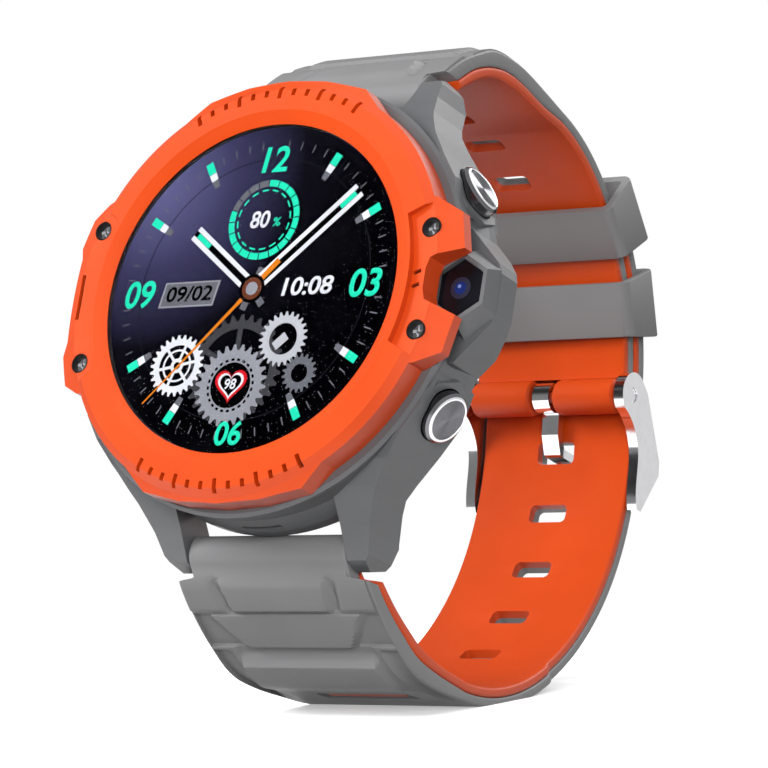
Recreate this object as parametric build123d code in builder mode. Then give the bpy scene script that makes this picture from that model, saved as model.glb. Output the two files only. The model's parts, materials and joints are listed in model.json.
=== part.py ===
from build123d import *
from math import sin, cos, radians, degrees
import os

os.makedirs("parts", exist_ok=True)

# driving dimensions, mm
TILT = 20.0            # the dial looks up by this much
GLASS_R = 20.0         # visible glass
BEZEL_R = 25.2
CASE_R = 26.2
CAVITY_R = 23.2
CASE_BACK_DEPTH = 12.8
LUG_GAP = 22.4         # between lug faces, for a 22 mm strap
BAR_Y, BAR_Z = 13.6, 27.9   # spring bar: depth behind the dial, distance from the centre line
STRAP_HALF = 13.3
TAPER = 0.0614         # loss of half width per mm of depth
C1Y, C1Z, R1 = 36.0, -2.0, 36.9      # lower strap arc: centre and outer radius
C2Y, C2Z, R2 = 38.4, 6.6, 30.6       # upper strap arc
TAIL_R = 33.3          # outer radius of the long strap's tail, lying on the upper strap
STRAP_T = 2.4
SKIN = 1.2             # grey outer layer
TANG_A = 8.2           # direction of the straight run between the two arcs
BUCKLE_Y, BUCKLE_Z = 66.4, 8.6
BTN_DEPTH = 8.8
BTN_ANGLES = {"power": 30.0, "lower": -30.0}

ct = cos(radians(TILT))
st = sin(radians(TILT))
FLAT = 0.6             # flat foot pressed into the lower arc
FOOT_Y = C1Y * ct + C1Z * st
DIAL_Z = C1Y * st - C1Z * ct + R1 - FLAT
ORG = Vector(0, -FOOT_Y, DIAL_Z)
DEPTH = Vector(0, ct, -st)
UP = Vector(0, st, ct)
OUT = Vector(0, -ct, st)

HEAD = Plane(origin=ORG, x_dir=(1, 0, 0), z_dir=OUT)
SIDE = Plane(origin=ORG, x_dir=DEPTH, z_dir=(1, 0, 0))
PLAN = Plane(origin=ORG, x_dir=(1, 0, 0), z_dir=UP)


def point(x, y, z):
    # x across, y depth behind the dial, z towards twelve
    return ORG + Vector(1, 0, 0) * x + DEPTH * y + UP * z


def polar(c, r, a):
    return (c[0] + r * cos(radians(a)), c[1] + r * sin(radians(a)))


def radial(phi, r, depth=BTN_DEPTH):
    d = Vector(1, 0, 0) * cos(radians(phi)) + UP * sin(radians(phi))
    return Plane(origin=ORG + d * r + DEPTH * depth, x_dir=OUT, z_dir=d)


def along(x, y, z):
    # plane whose normal is the strap's width, at a point
    return Plane(origin=point(x, y, z), x_dir=DEPTH, z_dir=(1, 0, 0))


def strap_plane(c, r, a):
    d = DEPTH * cos(radians(a)) + UP * sin(radians(a))
    return Plane(origin=point(0, *polar(c, r, a)), x_dir=(1, 0, 0), z_dir=d)


def save(part, name):
    part.label = name
    export_step(part, "parts/" + name + ".step")


def disc(name, r, z1, z0, hole=0.0, edge=0.0):
    with BuildPart() as b:
        with BuildSketch(HEAD.offset(z0)):
            Circle(r)
            if hole > 0:
                Circle(hole, mode=Mode.SUBTRACT)
        extrude(amount=z1 - z0)
        if edge > 0:
            top = b.edges().sort_by(Axis(ORG, OUT))[-1]
            chamfer(top, edge)
    save(b.part, name)


# ---------------------------------------------------------------- bezel
EAR_R = [(20, 10.6), (23.6, 9.8), (26.4, 8.3), (27.4, 3.9), (24.0, 2.5), (23.6, 1.2), (23.6, -1.2),
         (24.0, -2.5), (27.4, -3.9), (26.4, -8.3), (23.6, -9.8), (20, -10.6)]
EAR_L = [(-20, 12.4), (-23.2, 11.8), (-26.0, 10.4), (-27.0, 6.8), (-26.2, 5.2),
         (-26.2, -5.2), (-27.0, -6.8), (-26.0, -10.4), (-23.2, -11.8), (-20, -12.4)]
TAB = [(-14.2, 20.6), (-11.0, 24.0), (-5.5, 25.3), (0, 25.7), (5.5, 25.3), (11.0, 24.0), (14.2, 20.6)]
BEZEL_SCREWS = [(23.5, 6.05), (23.5, -6.05), (-23.0, 8.27), (-23.0, -8.27)]

with BuildPart() as bezel:
    with BuildSketch(HEAD.offset(-3.4)):
        Circle(BEZEL_R)
        with BuildLine():
            Polyline(*EAR_R, close=True)
        make_face()
        with BuildLine():
            Polyline(*EAR_L, close=True)
        make_face()
        for s in (1, -1):
            with BuildLine():
                Polyline(*[(x, s * y) for x, y in TAB], close=True)
            make_face()
        with BuildLine():
            Polyline((23.6, 1.2), (24.0, 2.5), (27.5, 4.0), (27.5, -4.0), (24.0, -2.5), (23.6, -1.2),
                     close=True)
        make_face(mode=Mode.SUBTRACT)
    extrude(amount=4.0)
    # sloping outer shoulder and bright inner chamfer
    with BuildSketch(Plane(origin=ORG, x_dir=(1, 0, 0), z_dir=-UP)):
        with BuildLine():
            Polyline((21.6, 0.6), (24.2, 0.25), (25.2, -0.5), (28.5, -2.4), (28.5, 1.2), (21.6, 1.2),
                     close=True)
        make_face()
    revolve(axis=Axis(ORG, OUT), mode=Mode.SUBTRACT)
    with BuildSketch(Plane(origin=ORG, x_dir=(1, 0, 0), z_dir=-UP)):
        with BuildLine():
            Polyline((0, -0.05), (GLASS_R, -0.05), (21.6, 0.6), (21.6, 1.2), (0, 1.2), close=True)
        make_face()
    revolve(axis=Axis(ORG, OUT), mode=Mode.SUBTRACT)
    with BuildSketch(HEAD.offset(-4)):
        Circle(GLASS_R + 0.55)
    extrude(amount=3.95, mode=Mode.SUBTRACT)
    with BuildSketch(HEAD.offset(-4)):
        Circle(22.3)
    extrude(amount=2.03, mode=Mode.SUBTRACT)
    # lower platforms for the screws at three and nine o'clock
    for s, reach in ((1, 9.6), (-1, 11.6)):
        with BuildSketch(HEAD.offset(-0.35)):
            with BuildLine():
                Polyline((s * 20.4, reach - 2.2), (s * 28, reach + 2.0), (s * 28, -reach - 2.0),
                         (s * 20.4, 2.2 - reach), close=True)
            make_face()
            Circle(22.0, mode=Mode.SUBTRACT)
        extrude(amount=2, mode=Mode.SUBTRACT)
    for x, y in BEZEL_SCREWS:
        with BuildSketch(HEAD.offset(-1.9)):
            with Locations((x, y)):
                Circle(1.2)
        extrude(amount=4, mode=Mode.SUBTRACT)
        with BuildSketch(HEAD.offset(-4)):
            with Locations((x, y)):
                Circle(0.65)
        extrude(amount=4, mode=Mode.SUBTRACT)
    # long slot on the left, two short slits beside the camera
    with BuildSketch(HEAD.offset(-1.3)):
        with Locations((-24.6, 0)):
            Rectangle(0.5, 5.6)
        with Locations((22.6, 0.8), (22.6, -0.8)):
            Rectangle(1.0, 0.45, rotation=20)
    extrude(amount=4, mode=Mode.SUBTRACT)
    # plain bars pressed into the top and bottom of the bezel
    for i in range(-6, 7):
        for base in (90, -90):
            a = base + i * 4.6
            h = 1.6 if i % 3 == 0 else 0.9
            spot = Plane(origin=point(23.9 * cos(radians(a)), -0.35, 23.9 * sin(radians(a))),
                         x_dir=Vector(1, 0, 0) * cos(radians(a)) + UP * sin(radians(a)), z_dir=OUT)
            with BuildSketch(spot.offset(-0.9)):
                Rectangle(h, 0.55)
            extrude(amount=2.0, mode=Mode.SUBTRACT)
save(bezel.part, "bezel")

# ---------------------------------------------------------------- case body
LUG = [(3.8, -8.0), (3.8, -16.5), (4.8, -19.4), (6.5, -22.1), (9.4, -25.7), (11.8, -29.2), (14.0, -30.0),
       (16.2, -29.3), (16.4, -26.6), (12.8, -22.0), (12.8, -8.0)]
LUG_FRONT = [(LUG_GAP / 2, -10), (24.3, -9.5), (23.2, -13.6), (21.0, -16.9), (18.5, -20.2), (16.4, -23.4),
             (15.0, -26.3), (14.3, -28.6), (13.0, -30.1), (LUG_GAP / 2, -30.1)]
HUMP = [(22, 8.8), (25.0, 8.0), (29.2, 3.7), (29.8, 2.4), (29.8, -2.4), (29.2, -3.7), (25.0, -8.0),
        (22, -8.8)]
HUMP_HEX = [(0, 5.4), (3.55, 2.8), (3.55, -2.8), (0, -5.4), (-3.4, -2.8), (-3.4, 2.8)]
WINDOW = [(0, 3.5), (2.8, 1.75), (2.8, -1.75), (0, -3.5), (-2.8, -1.75), (-2.8, 1.75)]
CAM_X = 26.2
BACK_SCREWS = [(15.2, 15.2), (-15.2, 15.2), (-15.2, -15.2), (15.2, -15.2)]

with BuildPart() as lugs:
    with BuildSketch(SIDE):
        for t in (1, -1):
            with BuildLine():
                Polyline(*[(y, t * z) for y, z in LUG], close=True)
            make_face()
    extrude(amount=25.0, both=True)
    with BuildSketch(HEAD.offset(-20)):
        for s in (1, -1):
            for t in (1, -1):
                with BuildLine():
                    Polyline(*[(s * x, t * z) for x, z in LUG_FRONT], close=True)
                make_face()
    extrude(amount=20, mode=Mode.INTERSECT)

with BuildPart() as case:
    with BuildSketch(Plane(origin=ORG, x_dir=(1, 0, 0), z_dir=-UP)):
        with BuildLine():
            Polyline((0, -3.45), (26.1, -3.45), (26.5, -3.8), (26.4, -4.3), (25.8, -5.4), (25.7, -7.5),
                     (CASE_R, -10.5), (CASE_R, -12.0), (25.5, -CASE_BACK_DEPTH), (0, -CASE_BACK_DEPTH),
                     close=True)
        make_face()
    revolve(axis=Axis(ORG, OUT))
    add(lugs.part)
    with BuildSketch(HEAD.offset(-12.0)):
        with BuildLine():
            Polyline(*HUMP, close=True)
        make_face()
    extrude(amount=5.6)
    # six-sided frame round the window, flaring down to the hump
    with BuildSketch(HEAD.offset(-6.4)):
        with BuildLine():
            Polyline(*[(CAM_X + x, y) for x, y in HUMP_HEX], close=True)
        make_face()
    with BuildSketch(HEAD.offset(-3.85)):
        with BuildLine():
            Polyline(*[(CAM_X + 1.17 * x, 1.17 * y) for x, y in WINDOW], close=True)
        make_face()
    loft()
    # flat bosses behind the buttons
    for phi in BTN_ANGLES.values():
        with BuildSketch(radial(phi, 22.0)):
            RegularPolygon(4.3, 8)
        extrude(amount=4.35)
    # bevel down the back of the hump
    with BuildSketch(PLAN.offset(-12)):
        with BuildLine():
            Polyline((30.2, 9.5), (26.3, 12.6), (31, 12.6), close=True)
        make_face()
    extrude(amount=24, mode=Mode.SUBTRACT)
    with BuildSketch(HEAD.offset(-CASE_BACK_DEPTH)):
        Circle(CAVITY_R)
    extrude(amount=CASE_BACK_DEPTH - 4.6, mode=Mode.SUBTRACT)
    # raised seat for the glass
    with BuildSketch(HEAD.offset(-4.6)):
        Circle(22.2)
    extrude(amount=2.6)
    with BuildSketch(HEAD.offset(-4.7)):
        Circle(19.6)
    extrude(amount=3, mode=Mode.SUBTRACT)
    # recess for the back gasket
    with BuildSketch(HEAD.offset(-CASE_BACK_DEPTH)):
        Circle(24.6)
        Circle(23.8, mode=Mode.SUBTRACT)
    extrude(amount=0.6, mode=Mode.SUBTRACT)
    # camera pocket behind the window
    with BuildSketch(HEAD.offset(-4.65)):
        with Locations((CAM_X, 0)):
            with BuildLine():
                Polyline(*[(CAM_X + 1.0 * x, 1.0 * y) for x, y in WINDOW], close=True)
            make_face()
    extrude(amount=2, mode=Mode.SUBTRACT)
    with BuildSketch(HEAD.offset(-10.8)):
        with Locations((25.6, 0)):
            Rectangle(5.2, 5.0)
    extrude(amount=6.5, mode=Mode.SUBTRACT)
    # button recesses and stem bores
    for phi in BTN_ANGLES.values():
        with BuildSketch(radial(phi, 25.2)):
            Circle(3.25)
        extrude(amount=6, mode=Mode.SUBTRACT)
        with BuildSketch(radial(phi, 20.0)):
            Circle(1.5)
        extrude(amount=8, mode=Mode.SUBTRACT)
    for x, y in BEZEL_SCREWS:
        with BuildSketch(HEAD.offset(-6.4)):
            with Locations((x, y)):
                Circle(0.62)
        extrude(amount=4, mode=Mode.SUBTRACT)
    # spring bar holes in the lugs
    for t in (1, -1):
        with BuildSketch(along(-12.9, BAR_Y, t * BAR_Z)):
            Circle(0.625)
        extrude(amount=25.8, mode=Mode.SUBTRACT)
    # hollow for the rounded strap ends
    for t in (1, -1):
        with BuildSketch(along(-11.15, BAR_Y, t * BAR_Z)):
            Circle(2.35)
        extrude(amount=22.3, mode=Mode.SUBTRACT)
    # posts for the back screws
    for x, y in BACK_SCREWS:
        with BuildSketch(HEAD.offset(-CASE_BACK_DEPTH)):
            with Locations((x, y)):
                Circle(1.9)
        extrude(amount=6.0)
        with BuildSketch(HEAD.offset(-CASE_BACK_DEPTH)):
            with Locations((x, y)):
                Circle(0.62)
        extrude(amount=4.0, mode=Mode.SUBTRACT)
    # microphone hole on the upper slope of the hump
    with BuildSketch(Plane(origin=point(27.6, 7.0, 5.2), x_dir=OUT,
                           z_dir=Vector(1, 0, 0) * 0.72 + UP * 0.69)):
        Circle(0.45)
    extrude(amount=-8, mode=Mode.SUBTRACT)
    # sound slit in the six o'clock wall
    with BuildSketch(Plane(origin=point(0.5, 9.4, -21.5), x_dir=(1, 0, 0), z_dir=-UP)):
        RectangleRounded(5.6, 0.6, 0.28)
    extrude(amount=6, mode=Mode.SUBTRACT)
save(case.part, "case_body")

# screw rows: (points, head top, head bottom, shank end, head radius)
def screws(name, spots, top, under, end, head_r, down=1):
    with BuildPart() as b:
        for x, y in spots:
            with BuildSketch(HEAD.offset(under)):
                with Locations((x, y)):
                    Circle(head_r)
            extrude(amount=top - under)
            with BuildSketch(HEAD.offset(under)):
                with Locations((x, y)):
                    Circle(0.6)
            extrude(amount=end - under)
            with BuildSketch(HEAD.offset(top)):
                with Locations((x, y)):
                    Rectangle(1.3, 0.34)
                    Rectangle(0.34, 1.3)
            extrude(amount=-0.35 * down, mode=Mode.SUBTRACT)
    save(b.part, name)


screws("bezel_screws", BEZEL_SCREWS, -0.95, -1.9, -6.2, 1.08)
screws("case_back_screws", BACK_SCREWS, -15.0, -14.2, -9.2, 1.08, -1)

# ---------------------------------------------------------------- display stack and internals
disc("cover_glass", GLASS_R + 0.45, -0.06, -0.56)
disc("glass_gasket", GLASS_R + 0.4, -0.58, -1.98, hole=19.95)
disc("display_panel", 19.5, -0.78, -2.6)
with BuildPart() as frame:
    with BuildSketch(HEAD.offset(-5.6)):
        Circle(22.8)
        with Locations((0, 14)):
            Rectangle(12, 2, mode=Mode.SUBTRACT)
        with Locations((18.5, 0)):
            Rectangle(6, 5, mode=Mode.SUBTRACT)
        for x, y in BACK_SCREWS:
            with Locations((x, y)):
                Circle(2.1, mode=Mode.SUBTRACT)
    extrude(amount=0.9)
save(frame.part, "inner_frame")
with BuildPart() as board:
    with BuildSketch(HEAD.offset(-6.6)):
        Circle(22.2)
        for x, y in BACK_SCREWS:
            with Locations((x, y)):
                Circle(2.4, mode=Mode.SUBTRACT)
        with Locations((19.5, 0)):
            Rectangle(8, 6.4, mode=Mode.SUBTRACT)
    extrude(amount=0.8)
save(board.part, "mainboard")
with BuildPart() as chips:
    for x, y, w, h, t in ((12, 2, 6, 6, 1.0), (12, -7, 5, 4, 0.9), (5, 16, 4, 5, 0.8), (-3, 17, 5, 3, 0.7)):
        with BuildSketch(HEAD.offset(-6.62 - t)):
            with Locations((x, y)):
                Rectangle(w, h)
        extrude(amount=t)
save(chips.part, "mainboard_chips")
with BuildPart() as cell:
    with BuildSketch(HEAD.offset(-11.9)):
        with Locations((-6, 0)):
            RectangleRounded(26, 22, 2.0)
    extrude(amount=4.2)
save(cell.part, "battery")
with BuildPart() as motor:
    with BuildSketch(HEAD.offset(-10.2)):
        with Locations((-5, 16.2)):
            Circle(4.0)
    extrude(amount=2.6)
save(motor.part, "vibration_motor")
with BuildPart() as speaker:
    with BuildSketch(HEAD.offset(-10.6)):
        with Locations((0, -16.5)):
            RectangleRounded(12, 8, 1.0)
    extrude(amount=3.0)
save(speaker.part, "loudspeaker")
with BuildPart() as mic:
    with BuildSketch(HEAD.offset(-7.8)):
        with Locations((19.4, 6.6)):
            Rectangle(2.8, 2.0)
    extrude(amount=1.1)
save(mic.part, "microphone")

# ---------------------------------------------------------------- camera
with BuildPart() as window:
    with BuildSketch(HEAD.offset(-4.63)):
        with BuildLine():
            Polyline(*[(CAM_X + 0.97 * x, 0.97 * y) for x, y in WINDOW], close=True)
        make_face()
    extrude(amount=0.62)
save(window.part, "camera_window")
with BuildPart() as barrel:
    with BuildSketch(HEAD.offset(-7.6)):
        with Locations((CAM_X, 0)):
            Circle(1.9)
            Circle(1.05, mode=Mode.SUBTRACT)
    extrude(amount=2.7)
save(barrel.part, "camera_barrel")
with BuildPart() as lens:
    with BuildSketch(HEAD.offset(-6.9)):
        with Locations((CAM_X, 0)):
            Circle(1.0)
    extrude(amount=1.4)
    chamfer(lens.faces().sort_by(Axis(ORG, OUT))[-1].edges(), 0.4)
save(lens.part, "camera_lens")
with BuildPart() as cam_board:
    with BuildSketch(HEAD.offset(-8.5)):
        with Locations((25.6, 0)):
            Rectangle(4.6, 4.4)
    extrude(amount=0.85)
save(cam_board.part, "camera_board")

# ---------------------------------------------------------------- back
with BuildPart() as back:
    with BuildSketch(HEAD.offset(-15.2)):
        Circle(23.2)
    with BuildSketch(HEAD.offset(-12.82)):
        Circle(24.85)
    loft()
    for x, y in BACK_SCREWS:
        with BuildSketch(HEAD.offset(-15.3)):
            with Locations((x, y)):
                Circle(1.2)
        extrude(amount=1.1, mode=Mode.SUBTRACT)
        with BuildSketch(HEAD.offset(-15.3)):
            with Locations((x, y)):
                Circle(0.65)
        extrude(amount=3, mode=Mode.SUBTRACT)
    with BuildSketch(HEAD.offset(-15.3)):
        Circle(7.05)
        with Locations((-3.2, -12.5), (3.2, -12.5)):
            Circle(1.0)
    extrude(amount=3, mode=Mode.SUBTRACT)
save(back.part, "case_back")
disc("case_back_gasket", 24.5, -12.24, -12.79, hole=23.9)
disc("sensor_window", 7.0, -13.8, -15.5)
disc("sensor_board", 6.6, -13.0, -13.7)
with BuildPart() as contacts:
    with BuildSketch(HEAD.offset(-15.3)):
        with Locations((-3.2, -12.5), (3.2, -12.5)):
            Circle(0.97)
    extrude(amount=3.0)
save(contacts.part, "charging_contacts")

# ---------------------------------------------------------------- buttons
for side, phi in BTN_ANGLES.items():
    with BuildPart() as cap:
        with BuildSketch(radial(phi, 25.75)):
            Circle(3.1)
        extrude(amount=1.95)
        chamfer(cap.faces().sort_by(Axis(radial(phi, 0).origin, radial(phi, 0).z_dir))[-1].edges(), 0.35)
        with BuildSketch(radial(phi, 25.6)):
            Circle(2.15)
        extrude(amount=1.6, mode=Mode.SUBTRACT)
        with BuildSketch(radial(phi, 21.7)):
            Circle(1.0)
        extrude(amount=5.7)
        with BuildSketch(radial(phi, 22.0)):
            Circle(1.2)
            Circle(0.75, mode=Mode.SUBTRACT)
        extrude(amount=0.36, mode=Mode.SUBTRACT)
    save(cap.part, side + "_button")
    with BuildPart() as clip:
        with BuildSketch(radial(phi, 22.03)):
            Circle(1.45)
            Circle(0.76, mode=Mode.SUBTRACT)
            with Locations((1.2, 0)):
                Rectangle(1.4, 0.8, mode=Mode.SUBTRACT)
        extrude(amount=0.3)
    save(clip.part, side + "_button_clip")
    with BuildPart() as guide:
        with BuildSketch(radial(phi, 22.4)):
            Circle(1.49)
            Circle(1.05, mode=Mode.SUBTRACT)
        extrude(amount=2.75)
    save(guide.part, side + "_button_guide")
    with BuildPart() as spring:
        with BuildLine() as coil:
            Helix(pitch=0.64, height=1.6, radius=1.6, center=radial(phi, 25.4).origin,
                  direction=radial(phi, 25.0).z_dir)
        with BuildSketch(Plane(origin=coil.line @ 0, z_dir=coil.line % 0)):
            Circle(0.14)
        sweep(is_frenet=True)
    save(spring.part, side + "_button_spring")
    with BuildPart() as switch:
        with BuildSketch(radial(phi, 19.0)):
            Rectangle(2.0, 3.2)
        extrude(amount=1.4)
        with BuildSketch(radial(phi, 20.4)):
            Circle(0.6)
        extrude(amount=0.5)
    save(switch.part, side + "_button_switch")

# ---------------------------------------------------------------- strap outlines (depth, height)
C1 = (C1Y, C1Z)
C2 = (C2Y, C2Z)
TAIL_END = 50.0
MID = [(14.8, -29.9), (17.6, -32.4), (21.9, -34.7), (25.8, -36.5)]
LOW_OUT = [(31.3, -39.3), (26.1, -39.0), (21.1, -36.6), (17.1, -34.0), (13.8, -31.4), (12.0, -29.4)]
LOW_IN = [(26.0, -35.2), (20.6, -32.7), (17.1, -30.5), (15.4, -29.2)]
UP_OUT = [(12.0, 29.4), (13.3, 30.9), (16.4, 33.9), (18.9, 35.3), (21.1, 36.9), (23.4, 37.8), (26.0, 38.0),
          (34.7, 38.1)]
UP_MID = [(14.8, 29.9), (18.7, 33.3), (22.9, 35.6), (25.9, 36.4), (30.8, 36.5)]
UP_IN = [(15.4, 29.2), (16.6, 29.9), (19.1, 32.0), (23.3, 34.3), (25.9, 34.9), (29.7, 35.0)]




def lower_curve(off, last):
    a = polar(C2, TAIL_R - off, TANG_A)
    b = polar(C1, R1 - off, TANG_A)
    CenterArc(C2, TAIL_R - off, TANG_A, TAIL_END - TANG_A)
    Line(a, b)
    CenterArc(C1, R1 - off, last, TANG_A - last)
    return polar(C1, R1 - off, last)


def lug_relief(t):
    for s in (1, -1):
        with BuildSketch(along(s * 11.0, 0, 0)) as sk:
            with BuildLine():
                Polyline((5, t * 20), (18.5, t * 20), (18.5, t * 27.5), (17.2, t * 30.7), (5, t * 30.7),
                         close=True)
            make_face()
        extrude(sk.sketch, amount=s * 4, mode=Mode.SUBTRACT)


def taper_cut():
    for s in (1, -1):
        with BuildSketch(PLAN.offset(-60)) as sk:
            with BuildLine():
                Polyline((s * STRAP_HALF, 28), (s * 16, 28), (s * 16, 84),
                         (s * (STRAP_HALF - TAPER * 56), 84), close=True)
            make_face()
        extrude(sk.sketch, amount=120, mode=Mode.SUBTRACT)


def slots(c, r, angles):
    for a in angles:
        with BuildSketch(strap_plane(c, r, a)) as sk:
            RectangleRounded(5.4, 2.4, 0.7)
        extrude(sk.sketch, amount=3.6, both=True, mode=Mode.SUBTRACT)


LOW_SLOTS = (7.3, -6.2, -19.9, -33.5, -47.2)
TAIL_SLOTS = (23.3, 38.5)
UP_SLOTS = (64.5, 80.0, 95.5)
INLAY = Plane(origin=point(0.8, 35.0, -39.05), x_dir=(1, 0, 0), z_dir=-UP)

with BuildPart() as low_shell:
    with BuildSketch(SIDE):
        with BuildLine():
            e = lower_curve(0, -86.7)
            Polyline(e, *LOW_OUT)
            Polyline(LOW_OUT[-1], *MID, polar(C1, R1 - SKIN, -99.8))
            CenterArc(C1, R1 - SKIN, -99.8, TANG_A + 99.8)
            Line(polar(C1, R1 - SKIN, TANG_A), polar(C2, TAIL_R - SKIN, TANG_A))
            CenterArc(C2, TAIL_R - SKIN, TANG_A, TAIL_END - TANG_A)
            Line(polar(C2, TAIL_R - SKIN, TAIL_END), polar(C2, TAIL_R, TAIL_END))
        make_face()
    extrude(amount=STRAP_HALF, both=True)
    lug_relief(-1)
    with BuildSketch(SIDE):
        with Locations((BAR_Y, -BAR_Z)):
            Circle(2.2)
    extrude(amount=11.0, both=True)
    with BuildSketch(SIDE):
        with Locations((BAR_Y, -BAR_Z)):
            Circle(1.0)
    extrude(amount=15.0, both=True, mode=Mode.SUBTRACT)
    # raised panel below the lugs
    slope = Plane(origin=point(0, 18.6, -34.95), x_dir=(1, 0, 0), z_dir=(DEPTH * -0.545 + UP * -0.839))
    with BuildSketch(slope.offset(-0.5)):
        with BuildLine():
            Polyline((-8.6, 3.4), (8.6, 3.4), (10.4, -2.6), (-10.4, -2.6), close=True)
        make_face()
    extrude(amount=1.2)
    taper_cut()
    slots(C1, R1 - 1.2, LOW_SLOTS)
    slots(C2, TAIL_R - 1.2, TAIL_SLOTS)
    # foot flat
    with BuildSketch(Plane(origin=(0, 0, -4))):
        Rectangle(60, 60)
    extrude(amount=4, mode=Mode.SUBTRACT)
    # groove for the inlay
    with BuildSketch(INLAY.offset(-0.75)):
        RectangleRounded(11.2, 1.5, 0.6)
    extrude(amount=3, mode=Mode.SUBTRACT)
save(low_shell.part, "strap_lower_shell")

with BuildPart() as inlay:
    with BuildSketch(INLAY.offset(-0.74)):
        RectangleRounded(11.1, 1.4, 0.55)
    extrude(amount=0.62)
save(inlay.part, "strap_inlay")

with BuildPart() as low_lining:
    with BuildSketch(SIDE):
        with BuildLine():
            Polyline(*MID, polar(C1, R1 - SKIN, -99.8))
            CenterArc(C1, R1 - SKIN, -99.8, TANG_A + 99.8)
            Line(polar(C1, R1 - SKIN, TANG_A), polar(C2, TAIL_R - SKIN, TANG_A))
            CenterArc(C2, TAIL_R - SKIN, TANG_A, TAIL_END - TANG_A)
            Line(polar(C2, TAIL_R - SKIN, TAIL_END), polar(C2, TAIL_R - STRAP_T, TAIL_END))
            e = lower_curve(STRAP_T, -97.0)
            Polyline(e, *LOW_IN)
            Line(LOW_IN[-1], MID[0])
        make_face()
    extrude(amount=STRAP_HALF, both=True)
    with BuildSketch(SIDE):
        with Locations((BAR_Y, -BAR_Z)):
            Circle(2.2)
    extrude(amount=15.0, both=True, mode=Mode.SUBTRACT)
    lug_relief(-1)
    taper_cut()
    slots(C1, R1 - 1.2, LOW_SLOTS)
    slots(C2, TAIL_R - 1.2, TAIL_SLOTS)
save(low_lining.part, "strap_lower_lining")

ROLL_A = 9.0
with BuildPart() as up_shell:
    with BuildSketch(SIDE):
        with BuildLine():
            Polyline(*UP_OUT, polar(C2, R2, 85))
            CenterArc(C2, R2, 85, ROLL_A - 85)
            Line(polar(C2, R2, ROLL_A), polar(C2, R2 - SKIN, ROLL_A))
            CenterArc(C2, R2 - SKIN, ROLL_A, 95 - ROLL_A)
            Polyline(polar(C2, R2 - SKIN, 95), *UP_MID[::-1], UP_OUT[0])
        make_face()
    extrude(amount=STRAP_HALF, both=True)
    lug_relief(1)
    with BuildSketch(SIDE):
        with Locations((BAR_Y, BAR_Z)):
            Circle(2.2)
    extrude(amount=11.0, both=True)
    with BuildSketch(SIDE):
        with Locations((BAR_Y, BAR_Z)):
            Circle(1.0)
        with Locations((BUCKLE_Y, BUCKLE_Z)):
            Circle(2.3)
    extrude(amount=15.0, both=True, mode=Mode.SUBTRACT)
    slope = Plane(origin=point(0, 14.9, 32.4), x_dir=(1, 0, 0), z_dir=(DEPTH * -0.695 + UP * 0.719))
    with BuildSketch(slope.offset(-0.5)):
        with BuildLine():
            Polyline((-10.4, -2.2), (10.4, -2.2), (8.6, 1.0), (-8.6, 1.0), close=True)
        make_face()
    extrude(amount=1.1)
    taper_cut()
    slots(C2, R2 - 1.2, UP_SLOTS)
save(up_shell.part, "strap_upper_shell")

with BuildPart() as up_lining:
    with BuildSketch(SIDE):
        with BuildLine():
            Polyline(polar(C2, R2 - SKIN, 95), *UP_MID[::-1], *UP_IN, polar(C2, R2 - STRAP_T, 97))
            CenterArc(C2, R2 - STRAP_T, 97, 7.0 - 97)
            Line(polar(C2, R2 - STRAP_T, 7.0), polar(C2, R2 - SKIN, 7.0))
            CenterArc(C2, R2 - SKIN, 7.0, 95 - 7.0)
        make_face()
    extrude(amount=STRAP_HALF, both=True)
    with BuildSketch(SIDE):
        with Locations((BUCKLE_Y, BUCKLE_Z)):
            Circle(2.3)
    extrude(amount=10.6, both=True)
    with BuildSketch(SIDE):
        with Locations((BAR_Y, BAR_Z)):
            Circle(2.2)
        with Locations((BUCKLE_Y, BUCKLE_Z)):
            Circle(0.95)
    extrude(amount=15.0, both=True, mode=Mode.SUBTRACT)
    # notch for the tang
    with BuildSketch(SIDE):
        with Locations((BUCKLE_Y, BUCKLE_Z - 0.4)):
            Rectangle(6.4, 5.6)
    extrude(amount=1.75, both=True, mode=Mode.SUBTRACT)
    lug_relief(1)
    taper_cut()
    slots(C2, R2 - 1.2, UP_SLOTS)
save(up_lining.part, "strap_upper_lining")

# ---------------------------------------------------------------- keepers
for name, mid, half in (("keeper_upper", 48.3, 12.1), ("keeper_lower", 26.8, 11.6)):
    with BuildPart() as keeper:
        with BuildSketch(SIDE):
            with Locations(C2):
                Circle(35.0)
                Circle(26.6, mode=Mode.SUBTRACT)
        extrude(amount=half + 1.1, both=True)
        with BuildSketch(SIDE):
            with Locations(C2):
                Circle(33.6)
                Circle(27.9, mode=Mode.SUBTRACT)
        extrude(amount=half, both=True, mode=Mode.SUBTRACT)
        d = (cos(radians(mid)), sin(radians(mid)))
        n = (-d[1], d[0])
        c0 = (C2Y + 31 * d[0], C2Z + 31 * d[1])
        box = [(c0[0] + i * 8 * d[0] + j * 4.0 * n[0], c0[1] + i * 8 * d[1] + j * 4.0 * n[1])
               for i, j in ((-1, -1), (1, -1), (1, 1), (-1, 1))]
        with BuildSketch(SIDE):
            with BuildLine():
                Polyline(*box, close=True)
            make_face()
        extrude(amount=20, both=True, mode=Mode.INTERSECT)
    save(keeper.part, name)

# ---------------------------------------------------------------- spring bars
for tag, t in (("upper", 1), ("lower", -1)):
    with BuildPart() as bar:
        with BuildSketch(along(-10.7, BAR_Y, t * BAR_Z)):
            Circle(0.9)
            Circle(0.6, mode=Mode.SUBTRACT)
        extrude(amount=21.4)
    save(bar.part, "lug_bar_" + tag)
    for word, s in (("right", 1), ("left", -1)):
        with BuildPart() as tip:
            with BuildSketch(along(s * 9.0, BAR_Y, t * BAR_Z)):
                Circle(0.55)
            extrude(amount=s * 3.7)
        save(tip.part, "bar_tip_" + tag + "_" + word)

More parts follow.
